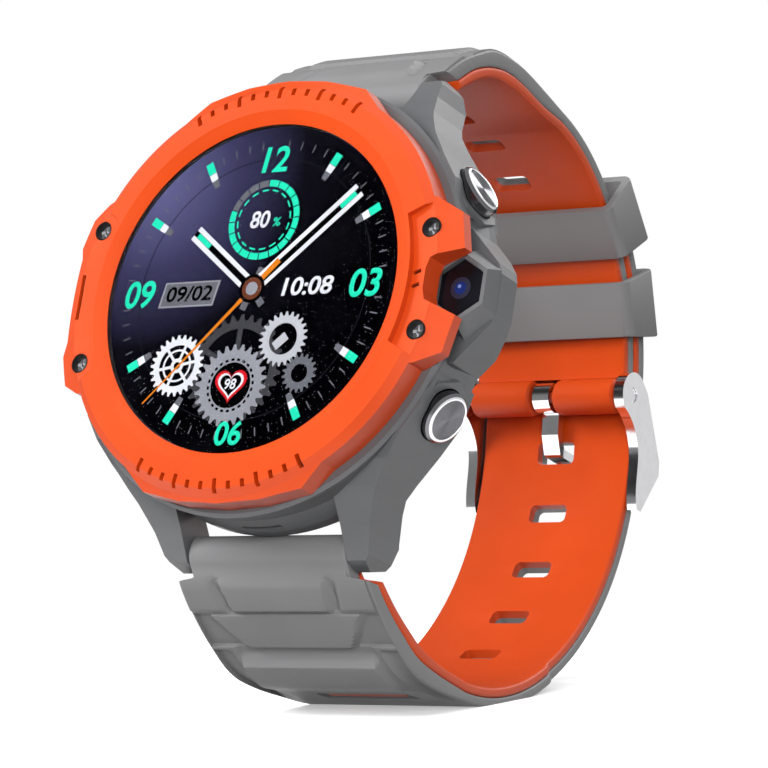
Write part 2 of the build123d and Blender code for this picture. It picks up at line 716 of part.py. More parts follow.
# ---------------------------------------------------------------- buckle
ARM_BLADE = [(68.0, 11.2), (69.8, 9.9), (74.9, 2.4), (75.2, 0.6), (71.9, -5.2), (70.9, -5.2)]
ARM_INNER = [(70.9, -5.2), (69.9, -1.5), (69.3, 2.2), (67.4, 4.9), (64.7, 6.4)]
ARM_TOP = [(64.7, 6.4), (64.6, 10.8), (68.0, 11.2)]
with BuildPart() as pin:
    with BuildSketch(along(-12.5, BUCKLE_Y, BUCKLE_Z)):
        Circle(0.9)
    extrude(amount=25.0)
save(pin.part, "buckle_bar")
with BuildPart() as buckle:
    for s in (1, -1):
        with BuildSketch(along(s * 11.35, 0, 0)):
            with BuildLine():
                Polyline(*ARM_BLADE)
                Spline(*ARM_INNER)
                ThreePointArc(*ARM_TOP)
            make_face()
        extrude(amount=s * 1.35)
    with BuildSketch(SIDE):
        with BuildLine():
            Polyline((73.1, 1.65), (74.9, 1.65), (75.15, 0.6), (73.9, -1.6), (72.9, -1.4), close=True)
        make_face()
    extrude(amount=11.4, both=True)
    with BuildSketch(along(-14, BUCKLE_Y, BUCKLE_Z)):
        Circle(0.95)
    extrude(amount=28, mode=Mode.SUBTRACT)
save(buckle.part, "buckle_frame")
TANG = [(67.6, 7.2), (68.1, 4.2), (69.4, 1.9), (70.0, 1.75), (74.9, 1.75), (75.2, 2.3), (74.9, 2.85), (70.2, 2.85),
        (69.2, 4.5), (68.6, 8.6), (67.8, 9.6), (66.6, 9.9)]
with BuildPart() as tang:
    with BuildSketch(SIDE):
        with BuildLine():
            Polyline(*TANG, close=True)
        make_face()
        with Locations((BUCKLE_Y, BUCKLE_Z)):
            Circle(1.95)
            Circle(0.95, mode=Mode.SUBTRACT)
    extrude(amount=1.2, both=True)
save(tang.part, "buckle_tang")
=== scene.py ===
import json
import math

import bpy
import bmesh
import numpy as np
from mathutils import Matrix, Vector


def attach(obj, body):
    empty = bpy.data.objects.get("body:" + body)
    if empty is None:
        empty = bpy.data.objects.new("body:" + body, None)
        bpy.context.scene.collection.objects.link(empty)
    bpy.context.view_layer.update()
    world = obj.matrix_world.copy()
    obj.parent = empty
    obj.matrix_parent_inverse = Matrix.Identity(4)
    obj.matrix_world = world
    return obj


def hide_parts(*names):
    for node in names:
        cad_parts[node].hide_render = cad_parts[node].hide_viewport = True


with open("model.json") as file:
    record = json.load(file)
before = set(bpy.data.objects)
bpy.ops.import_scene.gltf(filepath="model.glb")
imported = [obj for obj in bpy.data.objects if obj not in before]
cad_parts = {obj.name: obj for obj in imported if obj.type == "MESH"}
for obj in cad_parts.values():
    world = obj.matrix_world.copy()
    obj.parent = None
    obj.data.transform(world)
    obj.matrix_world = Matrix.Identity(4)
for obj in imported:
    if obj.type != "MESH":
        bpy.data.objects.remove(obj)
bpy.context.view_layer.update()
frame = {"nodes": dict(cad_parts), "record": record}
NODES = frame["nodes"]

# ------------------------------------------------------------------ the watch's own frame
# across (x), depth behind the dial (d) and towards twelve (u), all in mm
TILT = math.radians(20.0)
CT, ST = math.cos(TILT), math.sin(TILT)
C1 = np.array([36.0, -2.0])      # centre of the lower strap's arc, (depth, up)
R1 = 36.9                        # its outer radius
C2 = np.array([38.4, 6.6])       # centre of the upper strap's arc and of the lower strap's tail
R2 = 30.6                        # outer radius of the upper strap
TAIL_R = 33.3                    # outer radius of the tail, which lies over the upper strap
SKIN = 1.2                       # the grey layer
THICK = 2.4                      # both layers
TURN = 8.2                       # direction of the straight run from the arc to the tail, degrees
FOOT = C1[0] * CT + C1[1] * ST
RISE = C1[0] * ST - C1[1] * CT + R1 - 0.6
MM = 0.001


def place(p):
    """Watch millimetres (across, depth, up) to row metres: a turn by the tilt about X and a shift."""
    p = np.asarray(p, float)
    x, d, u = p[..., 0], p[..., 1], p[..., 2]
    return np.stack([x, d * CT + u * ST - FOOT, RISE - d * ST + u * CT], -1) * MM


def turn(v):
    """A direction in the watch's frame, given in the row's frame."""
    return Vector((v[0], v[1] * CT + v[2] * ST, -v[1] * ST + v[2] * CT))


# ------------------------------------------------------------------ materials
def linear(r, g, b):
    c = np.array([r, g, b]) / 255.0
    return tuple(np.where(c <= 0.04045, c / 12.92, ((c + 0.055) / 1.055) ** 2.4)) + (1.0,)


def finish_base(name):
    m = bpy.data.materials.new(name)
    m.use_nodes = True
    return m, m.node_tree.nodes, m.node_tree.links, m.node_tree.nodes["Principled BSDF"]


def speckle(n, l, scale, detail=3.0, stretch=(1, 1, 1)):
    tc = n.new("ShaderNodeTexCoord")
    mp = n.new("ShaderNodeMapping")
    mp.inputs["Scale"].default_value = stretch
    nz = n.new("ShaderNodeTexNoise")
    nz.inputs["Scale"].default_value = scale
    nz.inputs["Detail"].default_value = detail
    l.new(tc.outputs["Object"], mp.inputs["Vector"])
    l.new(mp.outputs["Vector"], nz.inputs["Vector"])
    return nz


def ramp(n, l, src, stops):
    r = n.new("ShaderNodeValToRGB")
    el = r.color_ramp.elements
    el[0].position, el[0].color = stops[0]
    el[1].position, el[1].color = stops[-1]
    for pos, col in stops[1:-1]:
        e = el.new(pos)
        e.color = col
    l.new(src, r.inputs["Fac"])
    return r


def moulded(name, tone, rough=0.45, grain=2600.0, depth=0.04, vary=0.06, coat=0.0, wear=0.10):
    """Moulded plastic or silicone: fine spark-eroded grain in bump and roughness, a slow drift in
    tone, and edges a little lighter where they are handled."""
    m, n, l, b = finish_base(name)
    slow = speckle(n, l, 90.0, 2.0)
    c = np.array(tone[:3])
    lo = tuple(c * (1 - vary)) + (1.0,)
    hi = tuple(np.minimum(c * (1 + vary), 1.0)) + (1.0,)
    cr = ramp(n, l, slow.outputs["Fac"], [(0.3, lo), (0.7, hi)])
    geo = n.new("ShaderNodeNewGeometry")
    edge = ramp(n, l, geo.outputs["Pointiness"], [(0.50, (0, 0, 0, 1)), (0.60, (1, 1, 1, 1))])
    mix = n.new("ShaderNodeMix")
    mix.data_type = "RGBA"
    soft = n.new("ShaderNodeMath")
    soft.operation = "MULTIPLY"
    soft.inputs[1].default_value = wear
    l.new(edge.outputs["Color"], soft.inputs[0])
    l.new(soft.outputs[0], mix.inputs["Factor"])
    l.new(cr.outputs["Color"], mix.inputs["A"])
    mix.inputs["B"].default_value = tuple(np.minimum(c * 1.5 + 0.06, 1.0)) + (1.0,)
    l.new(mix.outputs["Result"], b.inputs["Base Color"])
    fine = speckle(n, l, grain, 4.0)
    rr = n.new("ShaderNodeMapRange")
    rr.inputs["To Min"].default_value = rough - 0.06
    rr.inputs["To Max"].default_value = rough + 0.08
    l.new(fine.outputs["Fac"], rr.inputs["Value"])
    l.new(rr.outputs["Result"], b.inputs["Roughness"])
    bp = n.new("ShaderNodeBump")
    bp.inputs["Strength"].default_value = depth
    bp.inputs["Distance"].default_value = 0.0002
    l.new(fine.outputs["Fac"], bp.inputs["Height"])
    l.new(bp.outputs["Normal"], b.inputs["Normal"])
    b.inputs["Coat Weight"].default_value = coat
    b.inputs["Coat Roughness"].default_value = 0.25
    return m


def metal(name, tone, rough=0.12, stretch=(1, 1, 1), scale=900.0, vary=0.08, bump=0.02):
    """Polished or brushed metal: hairline scratches in roughness and bump."""
    m, n, l, b = finish_base(name)
    nz = speckle(n, l, scale, 5.0, stretch)
    c = np.array(tone[:3])
    cr = ramp(n, l, nz.outputs["Fac"], [(0.25, tuple(c * (1 - vary)) + (1,)), (0.75, tuple(c) + (1,))])
    l.new(cr.outputs["Color"], b.inputs["Base Color"])
    rr = n.new("ShaderNodeMapRange")
    rr.inputs["To Min"].default_value = max(rough - 0.05, 0.02)
    rr.inputs["To Max"].default_value = rough + 0.08
    l.new(nz.outputs["Fac"], rr.inputs["Value"])
    l.new(rr.outputs["Result"], b.inputs["Roughness"])
    bp = n.new("ShaderNodeBump")
    bp.inputs["Strength"].default_value = bump
    bp.inputs["Distance"].default_value = 0.0001
    l.new(nz.outputs["Fac"], bp.inputs["Height"])
    l.new(bp.outputs["Normal"], b.inputs["Normal"])
    b.inputs["Metallic"].default_value = 1.0
    return m


def lit(name, tone, power=1.0, dark=0.85):
    """A part whose colour glows, with the faint unevenness of a backlight: the lit parts of the display,
    and on the camera lens a painted glow and a painted glint.
    """
    m, n, l, b = finish_base(name)
    nz = speckle(n, l, 260.0, 2.0)
    c = np.array(tone[:3])
    cr = ramp(n, l, nz.outputs["Fac"], [(0.2, tuple(c * dark) + (1,)), (0.8, tuple(c) + (1,))])
    unlit = ramp(n, l, nz.outputs["Fac"], [(0.2, tuple(c * 0.06) + (1,)), (0.8, tuple(c * 0.08) + (1,))])
    l.new(unlit.outputs["Color"], b.inputs["Base Color"])
    l.new(cr.outputs["Color"], b.inputs["Emission Color"])
    b.inputs["Emission Strength"].default_value = power
    b.inputs["Roughness"].default_value = 0.5
    b.inputs["Specular IOR Level"].default_value = 0.0
    return m


ORANGE = linear(200, 66, 12)
GREY = linear(119, 119, 120)
MAT = {
    "bezel_orange": moulded("bezel orange", ORANGE, 0.42, coat=0.15),
    "case_grey": moulded("case grey", linear(88, 89, 91), 0.42, coat=0.1),
    "strap_grey": moulded("strap grey silicone", GREY, 0.50, 2200.0, 0.05),
    "strap_orange": moulded("strap orange silicone", linear(197, 67, 14), 0.50, 2200.0, 0.05),
    "steel": metal("polished steel", (0.83, 0.83, 0.85), 0.10),
    "dark_steel": metal("dark steel", (0.16, 0.16, 0.17), 0.20),
    "spring_steel": metal("spring steel", (0.55, 0.55, 0.58), 0.25),
    "black_rubber": moulded("black rubber", linear(22, 22, 23), 0.6),
    "board": moulded("green board", linear(20, 88, 50), 0.4),
    "chip": moulded("chip black", linear(26, 26, 28), 0.5),
    "cell": moulded("cell wrap", linear(170, 172, 178), 0.35),
    "black_plastic": moulded("black plastic", linear(24, 24, 26), 0.45),
    "optic": moulded("lens coating", linear(30, 42, 150), 0.05, coat=1.0),
    "gold": metal("contact gold", (0.86, 0.62, 0.25), 0.18),
    "display": moulded("display black", linear(6, 6, 9), 0.15, depth=0.0),
}


def cover_finish():
    """Clear cover glass with faint wiping streaks in its polish."""
    m, n, l, b = finish_base("cover glass")
    nz = speckle(n, l, 60.0, 2.0, (1, 6, 1))
    rr = n.new("ShaderNodeMapRange")
    rr.inputs["To Min"].default_value = 0.0
    rr.inputs["To Max"].default_value = 0.03
    l.new(nz.outputs["Fac"], rr.inputs["Value"])
    l.new(rr.outputs["Result"], b.inputs["Roughness"])
    b.inputs["Base Color"].default_value = (0.95, 0.96, 1.0, 1.0)
    b.inputs["Transmission Weight"].default_value = 1.0
    b.inputs["IOR"].default_value = 1.03
    return m


def window_finish():
    """Tinted camera window: near black and glossy, its tone varying a little at random."""
    m, n, l, b = finish_base("camera window tint")
    nz = speckle(n, l, 300.0, 2.0)
    cr = ramp(n, l, nz.outputs["Fac"], [(0.3, linear(9, 9, 12)), (0.7, linear(18, 18, 24))])
    l.new(cr.outputs["Color"], b.inputs["Base Color"])
    b.inputs["Roughness"].default_value = 0.16
    b.inputs["Specular IOR Level"].default_value = 0.22
    return m


MAT["cover"] = cover_finish()
WINDOW_TINT = window_finish()

slot_of = {s["node"]: s["material_slot"] for s in frame["record"]["subparts"]}
for node, obj in NODES.items():
    finish = WINDOW_TINT if node == "camera_window" else MAT[slot_of[node]]
    obj.data.materials.clear()
    obj.data.materials.append(finish)


# ------------------------------------------------------------------ mesh helpers
def grid_faces(nu, nv, wrap_u=False, wrap_v=False):
    """Quads of a grid of nu by nv points, wrapped either way."""
    u = np.arange(nu if wrap_u else nu - 1)
    v = np.arange(nv if wrap_v else nv - 1)
    a, b = np.meshgrid(u, v, indexing="ij")
    a2, b2 = (a + 1) % nu, (b + 1) % nv
    q = np.stack([a * nv + b, a2 * nv + b, a2 * nv + b2, a * nv + b2], -1)
    return q.reshape(-1, 4).tolist()


def add_piece(name, points, faces, finish, body="watch", smooth=True, weld=True, gaps=()):
    """A mesh object from row-frame points, its doubles merged and its faces turned outwards."""
    me = bpy.data.meshes.new(name)
    me.from_pydata(np.asarray(points).reshape(-1, 3).tolist(), [], faces)
    ob = bpy.data.objects.new(name, me)
    bpy.context.collection.objects.link(ob)
    if weld:
        bm = bmesh.new()
        bm.from_mesh(me)
        bmesh.ops.remove_doubles(bm, verts=bm.verts, dist=2e-6)
        bmesh.ops.dissolve_degenerate(bm, edges=bm.edges, dist=1e-6)
        bmesh.ops.recalc_face_normals(bm, faces=bm.faces)
        bm.to_mesh(me)
        bm.free()
    me.materials.append(finish)
    for cutter in gaps:
        cut(ob, cutter)
    if smooth:
        me = ob.data
        me.polygons.foreach_set("use_smooth", np.ones(len(me.polygons), bool))
        me.set_sharp_from_angle(angle=math.radians(32))
    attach(ob, body)
    return ob


def cut(ob, cutter):
    """Takes the cutter's closed shape out of a piece and removes the cutter."""
    md = ob.modifiers.new("gap", "BOOLEAN")
    md.operation = "DIFFERENCE"
    md.solver = "EXACT"
    md.object = cutter
    dg = bpy.context.evaluated_depsgraph_get()
    me = bpy.data.meshes.new_from_object(ob.evaluated_get(dg))
    ob.modifiers.clear()
    ob.data = me
    bpy.data.objects.remove(cutter)


def loose(name, points, faces):
    me = bpy.data.meshes.new(name)
    me.from_pydata(np.asarray(points).reshape(-1, 3).tolist(), [], faces)
    ob = bpy.data.objects.new(name, me)
    bpy.context.collection.objects.link(ob)
    bm = bmesh.new()
    bm.from_mesh(me)
    bmesh.ops.recalc_face_normals(bm, faces=bm.faces)
    bm.to_mesh(me)
    bm.free()
    return ob


def smooth_run(stations, n):
    """Catmull-Rom curve through the stations, n points per gap."""
    p = np.asarray(stations, float)
    p = np.vstack([2 * p[0] - p[1], p, 2 * p[-1] - p[-2]])
    t = np.linspace(0, 1, n, endpoint=False)[:, None]
    out = []
    for a, b, c, d in zip(p[:-3], p[1:-2], p[2:-1], p[3:]):
        out.append(0.5 * (2 * b + (c - a) * t + (2 * a - 5 * b + 4 * c - d) * t ** 2
                          + (3 * b - a - 3 * c + d) * t ** 3))
    out.append(p[-2][None])
    return np.vstack(out)


def polar(c, r, a):
    a = np.radians(a)
    return c + np.stack([r * np.cos(a), r * np.sin(a)], -1)


# ------------------------------------------------------------------ strap
def half_width(d):
    return 13.3 - 0.0614 * np.maximum(d - 28.0, 0.0)


def strap_layer(name, outer, inner, half, finish, relief=None, edge=0.32, nx=72, gaps=()):
    """One silicone layer. Two lines in the side view, outer and inner, are joined by a section that
    runs across the inner line, round a small edge radius, back across the outer line and round again.
    The outer points move along the thickness by the relief, a height over (across, station)."""
    n = len(outer)
    thick = outer - inner
    t_len = np.maximum(np.linalg.norm(thick, axis=1), 1e-4)
    unit = thick / t_len[:, None]
    e = np.minimum(edge, t_len * 0.45)
    ph = np.radians(np.linspace(0, 90, 5))
    q_out = np.linspace(-1, 1, nx)
    rows_x, rows_t = [], []
    for q in np.linspace(-1, 1, 9):
        rows_x.append(q * (half - e))
        rows_t.append(np.zeros(n))
    for p in ph:
        rows_x.append(half - e + e * np.sin(p))
        rows_t.append(e * (1 - np.cos(p)))
    for p in ph:
        rows_x.append(half - e + e * np.cos(p))
        rows_t.append(t_len - e * (1 - np.sin(p)))
    first = len(rows_x)
    for q in -q_out:
        rows_x.append(q * (half - e))
        rows_t.append(t_len.copy())
    last = len(rows_x)
    for p in ph[::-1]:
        rows_x.append(-(half - e + e * np.cos(p)))
        rows_t.append(t_len - e * (1 - np.sin(p)))
    for p in ph[::-1]:
        rows_x.append(-(half - e + e * np.sin(p)))
        rows_t.append(e * (1 - np.cos(p)))
    x = np.stack(rows_x, 1)
    t = np.stack(rows_t, 1)
    if relief is not None:
        t[:, first:last] += relief(x[:, first:last], outer[:, :1], np.linspace(0, 1, n)[:, None])
    side = inner[:, None, :] + unit[:, None, :] * t[..., None]
    pts = np.stack([x, side[..., 0], side[..., 1]], -1)
    row = place(pts)
    row[..., 2] = np.maximum(row[..., 2], 0.0)
    m = x.shape[1]
    faces = grid_faces(n, m, wrap_v=True)
    faces.append(list(range(m))[::-1])
    faces.append([(n - 1) * m + k for k in range(m)])
    return add_piece(name, row, faces, finish, gaps=gaps)


def slot_cutter(c, r, a, wide=5.4, tall=2.4, deep=6.0, corner=0.7):
    """A rounded bar that passes through the strap at that angle of its arc: a rounded rectangle
    carried along the radius."""
    k = np.radians(np.linspace(0, 360, 33)[:-1])
    px = np.sign(np.cos(k)) * (wide / 2 - corner) + corner * np.cos(k)
    py = np.sign(np.sin(k)) * (tall / 2 - corner) + corner * np.sin(k)
    rad = np.array([math.cos(math.radians(a)), math.sin(math.radians(a))])
    tan = np.array([-rad[1], rad[0]])
    rings = []
    for dr in (-deep / 2, deep / 2):
        base = c + rad * (r + dr)
        side = base + py[:, None] * tan
        rings.append(np.column_stack([px, side]))
    p = place(np.array(rings))
    m = len(px)
    faces = grid_faces(2, m, wrap_v=True)
    faces += [list(range(m)), list(range(m, 2 * m))]
    return loose("cutter", p, faces)


def bump_step(v, a, b):
    """Smooth step from 0 at a to 1 at b."""
    t = np.clip((v - a) / (b - a), 0, 1)
    return t * t * (3 - 2 * t)


BAR_LOW = np.array([13.6, -27.9])
BAR_UP = np.array([13.6, 27.9])
SEAM_LOW = np.array([14.85, -29.75])
SEAM_UP = np.array([14.85, 29.75])
TAIL_END = 50.0

LOW_STATIONS = np.array([
    # outer d,u   seam d,u   inner d,u
    [12.05, -29.45, 14.85, -29.75, 15.30, -29.30],
    [13.80, -31.40, 16.20, -31.20, 17.10, -30.50],
    [17.10, -34.00, 18.90, -33.10, 20.20, -32.50],
    [21.10, -36.50, 22.40, -35.00, 23.50, -34.10],
    [26.10, -38.75, 26.40, -36.75, 27.00, -35.50],
    [31.30, -39.25, 31.20, -37.38, 31.40, -36.20],
    [38.12, -38.84, 38.05, -37.64, 37.98, -36.44],
])
UP_STATIONS = np.array([
    [12.05, 29.45, 14.85, 29.75, 15.30, 29.30],
    [13.40, 30.95, 16.00, 30.90, 16.80, 30.10],
    [16.40, 33.80, 18.70, 33.30, 19.60, 32.30],
    [19.60, 36.00, 21.00, 34.70, 21.90, 33.70],
    [22.60, 37.60, 23.60, 35.75, 24.20, 34.55],
    [26.20, 38.20, 26.60, 36.35, 26.80, 34.95],
    [30.60, 38.25, 30.60, 36.35, 30.80, 35.00],
    [35.60, 37.75, 35.84, 35.89, 35.94, 34.69],
    [41.07, 37.08, 40.97, 35.89, 40.86, 34.69],
])


def ring_run(bar, seam, a0, a1, n):
    """The rolled end that holds the spring bar: the outer line goes round it, the seam stays put."""
    o = polar(bar, 2.2, np.linspace(a0, a1, n, endpoint=False))
    return o, np.repeat(seam[None], n, 0)


def lower_lines():
    run = smooth_run(LOW_STATIONS, 16)
    a = np.linspace(-86.7, TURN, 110)[1:]
    b = np.linspace(TURN, TAIL_END, 50)
    k = np.linspace(0, 1, 10)[1:-1, None]
    lines = []
    for i, off in enumerate((0.0, SKIN, THICK)):
        p1, p2 = polar(C1, R1 - off, TURN), polar(C2, TAIL_R - off, TURN)
        lines.append(np.vstack([run[:, 2 * i:2 * i + 2], polar(C1, R1 - off, a), p1 + (p2 - p1) * k,
                                polar(C2, TAIL_R - off, b)]))
    return lines


def upper_lines(end):
    run = smooth_run(UP_STATIONS, 14)
    a = np.linspace(85, end, 96)[1:]
    return [np.vstack([run[:, 2 * i:2 * i + 2], polar(C2, R2 - off, a)])
            for i, off in enumerate((0.0, SKIN, THICK))]


def shoulder(outer, t):
    """Half width: narrow between the lugs, then a step out to the full strap past the lug tips."""
    away = t * outer[:, 1]
    grow = bump_step(away, 30.75, 31.15)
    return 11.0 + (half_width(outer[:, 0]) - 11.0) * grow


def panel_relief(x, d, top, foot, side, slant, high):
    """A raised panel that ends in a step at the foot, with a groove down each slanted side; both grow
    out of the plain strap a little below the roll."""
    above = 1 - bump_step(d, foot, foot + 0.4)
    edge = side - slant * np.maximum(d - top, 0)
    inside = 1 - bump_step(np.abs(x), edge - 0.3, edge + 0.3)
    groove = np.exp(-((np.abs(x) - edge - 0.7) / 0.55) ** 2)
    fade = bump_step(d, 12.8, 14.4)
    rise = 0.45 * bump_step(d, 11.6, 14.6)
    return above * (high * (rise + (1 - 0.45) * fade * inside) - 0.8 * groove * fade)


def lower_relief(x, d, s):
    """Raised front panel, a recessed flank with slanted ends, a lit chamfer up to a plateau, and a slit
    for the inlay; the rims of the strap lie lower all along."""
    h = panel_relief(x, d, 13.0, 16.6, 7.6, 0.22, 0.9)
    edge = 10.8 - 0.75 * np.maximum(d - 17.0, 0)
    flank = bump_step(d, 17.0, 17.4) * (1 - bump_step(d, 21.4, 21.7))
    h = h + flank * (0.35 - 0.85 * bump_step(np.abs(x), edge - 0.2, edge + 0.3))
    width = 1 - bump_step(np.abs(x), 9.4, 9.8)
    h = h - 0.3 * bump_step(d, 21.4, 21.7) * (1 - bump_step(d, 22.8, 23.0)) * width
    plateau = bump_step(d, 22.9, 24.0) * (1 - bump_step(d, 27.0, 33.0))
    h = h + 0.95 * plateau * width
    rim = bump_step(np.abs(x), 10.5, 11.0) * bump_step(d, 22.0, 22.6) * (1 - bump_step(d, 34.0, 38.0))
    h = h - 0.55 * rim
    slit = (1 - bump_step(np.abs(x - 0.8), 6.2, 6.5)) * bump_step(d, 33.9, 34.2) * (
        1 - bump_step(d, 36.3, 36.6))
    return (h - 0.85 * slit) * bump_step(s, 0.145, 0.18)


def upper_relief(x, d, s):
    """Raised top panel between the lugs and a cross ridge behind it."""
    ridge = bump_step(d, 18.4, 19.0) * (1 - bump_step(d, 25.0, 29.0))
    width = 1 - 0.7 * bump_step(np.abs(x), 10.2, 10.8)
    h = panel_relief(x, d, 13.0, 17.0, 8.0, 0.3, 0.7) + 0.6 * ridge * width
    return h * bump_step(s, 0.176, 0.21)


low_out, low_mid, low_in = lower_lines()
ro, rm = ring_run(BAR_LOW, SEAM_LOW, -54, 222, 44)
shell_o = np.vstack([ro, low_out])
shell_m = np.vstack([rm, low_mid])
TANG_SLOT = 7.3
LOW_SLOTS = (TANG_SLOT, -6.2, -19.9, -33.5, -47.2)
TAIL_SLOTS = (23.3, 38.5)
UP_SLOTS = (64.5, 80.0, 95.5)


def slot_set(c, r, angles):
    return [slot_cutter(c, r, a, tall=2.9 if a == TANG_SLOT else 2.4) for a in angles]


def low_slots():
    return slot_set(C1, R1 - 1.2, LOW_SLOTS) + slot_set(C2, TAIL_R - 1.2, TAIL_SLOTS)


low_shell = strap_layer("lower_strap_outer_layer", shell_o, shell_m,
                        np.concatenate([np.full(len(ro), 11.0), shoulder(low_out, -1)]),
                        MAT["strap_grey"], lower_relief, gaps=low_slots())
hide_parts("strap_lower_shell")
low_lining = strap_layer("lower_strap_lining", low_mid[2:], low_in[2:], shoulder(low_out, -1)[2:],
                         MAT["strap_orange"], edge=0.4, gaps=low_slots())
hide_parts("strap_lower_lining")

up_out, up_mid, up_in = upper_lines(9.0)
ro, rm = ring_run(BAR_UP, SEAM_UP, 54, -222, 44)
up_shell = strap_layer("upper_strap_outer_layer", np.vstack([ro, up_out]), np.vstack([rm, up_mid]),
                       np.concatenate([np.full(len(ro), 11.0), shoulder(up_out, 1)]),
                       MAT["strap_grey"], upper_relief, gaps=slot_set(C2, R2 - 1.2, UP_SLOTS))
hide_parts("strap_upper_shell")
up_lining = strap_layer("upper_strap_lining", up_mid[2:], up_in[2:], shoulder(up_out, 1)[2:],
                        MAT["strap_orange"], edge=0.4, gaps=slot_set(C2, R2 - 1.2, UP_SLOTS))
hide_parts("strap_upper_lining")

# rolled end round the buckle bar, notched in the middle for the tang
ROLL = np.array([66.4, 8.6])


def lathe_bar(name, c, profile, finish, body="watch", n=48, start=0.0, sweep=360.0):
    """A profile of (across, radius) points turned about an axis that runs across the strap at c."""
    pr = np.asarray(profile, float)
    a = np.radians(start + np.linspace(0, sweep, n + 1)[:-1])
    side = c[None, None] + pr[:, 1][:, None, None] * np.stack([np.cos(a), np.sin(a)], -1)[None]
    x = np.repeat(pr[:, :1], n, 1)
    p = np.concatenate([x[..., None], side], -1)
    return add_piece(name, place(p), grid_faces(len(pr), n, wrap_u=True, wrap_v=True), finish, body)


for word, s in (("right", 1), ("left", -1)):
    prof = [(s * a, b) for a, b in ((1.75, 0.97), (1.75, 1.9), (2.0, 2.2), (2.35, 2.3), (9.9, 2.3),
                                    (10.35, 2.15), (10.6, 1.8), (10.6, 0.97))]
    roll = lathe_bar("buckle_end_roll_" + word, ROLL, prof, MAT["strap_orange"])


# keepers: flat loops round both straps
def keeper(name, mid, half, body):
    """A loop round both straps. Its section outline, a rounded rectangle bent on the strap's arc, is
    carried along the strap, its two rims a little rounded."""
    lo, hi = 27.9, 33.6          # radii of the loop's inner and outer opening
    k = np.radians(np.linspace(0, 360, 97)[:-1])
    m = np.array([math.cos(math.radians(mid)), math.sin(math.radians(mid))])
    tan = np.array([-m[1], m[0]])

    def outline(grow, corner):
        cx, cr = half + grow - corner, (hi - lo) / 2 + grow - corner
        px = np.sign(np.cos(k)) * cx + corner * np.cos(k)
        pr = (hi + lo) / 2 + np.sign(np.sin(k)) * cr + corner * np.sin(k)
        return px, pr
    v = [(-4.0, 0.22), (-3.95, 0.08), (-3.8, 0.0), (3.8, 0.0), (3.95, 0.08), (4.0, 0.22)]
    rings = []
    for along, dip in v:
        px, pr = outline(1.1 - dip, 1.3)
        rings.append((px, pr, along))
    for along in (3.9, -3.9):
        px, pr = outline(0.0, 0.5)
        rings.append((px, pr, along))
    pts = []
    for px, pr, along in rings:
        side = C2 + pr[:, None] * m
        bend = along / np.full_like(pr, 31.0)
        ca, sa = np.cos(bend), np.sin(bend)
        rel = np.stack([pr * ca, pr * sa], -1)
        side = C2 + rel[:, :1] * m + rel[:, 1:] * tan
        pts.append(np.column_stack([px, side]))
    p = place(np.array(pts))
    ob = add_piece(name + "_loop", p, grid_faces(len(rings), len(k), wrap_u=True, wrap_v=True),
                   MAT["strap_grey"], body)
    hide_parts(name)
    return ob


keeper("keeper_upper", 48.3, 12.1, "keeper_upper")
keeper("keeper_lower", 26.8, 11.6, "keeper_lower")

# ------------------------------------------------------------------ dial picture
TEAL = lit("display teal", linear(40, 238, 190), 1.0)
WHITE = lit("display white", linear(245, 246, 250), 0.95)
SILVER = lit("display silver", linear(176, 178, 184), 0.75)
PEARL = lit("display pearl", linear(214, 216, 220), 0.85)
DIM = lit("display dim grey", linear(128, 130, 136), 0.7)
SMOKE = lit("display smoke", linear(44, 45, 50), 0.5)
DUSK = lit("display dusk", linear(84, 84, 88), 0.6)
AMBER = lit("display amber", linear(240, 134, 30), 1.0)
RED = lit("display red", linear(222, 32, 40), 1.0)
INK = lit("display ink", linear(8, 8, 12), 0.3)
COPPER = lit("display copper", linear(120, 66, 44), 0.8)


def night_dial_painted_reflection():
    """The dark dial: near black, with a painted reflection that drifts to a violet blue towards ten o'clock
    in both its glow and its base colour.
    """
    m, n, l, b = finish_base("display night with painted reflection")
    tc = n.new("ShaderNodeTexCoord")
    mp = n.new("ShaderNodeMapping")
    # centre of the painted violet reflection, towards ten o'clock
    mp.inputs["Location"].default_value = tuple(-np.array(place([-16.0, 0.0, 14.0])) * 34.0)
    mp.inputs["Scale"].default_value = (34.0, 34.0, 34.0)
    gr = n.new("ShaderNodeTexGradient")
    gr.gradient_type = "SPHERICAL"
    l.new(tc.outputs["Object"], mp.inputs["Vector"])
    l.new(mp.outputs["Vector"], gr.inputs["Vector"])
    cr = ramp(n, l, gr.outputs["Fac"], [(0.0, linear(1, 1, 2)), (0.30, linear(7, 6, 13)),
                                        (0.62, linear(62, 60, 96)), (1.0, linear(112, 110, 158))])
    unlit = ramp(n, l, gr.outputs["Fac"], [(0.0, linear(1, 1, 2)), (1.0, linear(6, 6, 10))])
    l.new(unlit.outputs["Color"], b.inputs["Base Color"])
    l.new(cr.outputs["Color"], b.inputs["Emission Color"])
    b.inputs["Emission Strength"].default_value = 0.9
    b.inputs["Specular IOR Level"].default_value = 0.0
    b.inputs["Roughness"].default_value = 0.6
    return m


NIGHT_WITH_PAINTED_REFLECTION = night_dial_painted_reflection()
TOP = 0.62         # depth of the lowest picture layer's top
LEVEL = 0.012


def layer_depth(level):
    return TOP + 0.10 - LEVEL * level


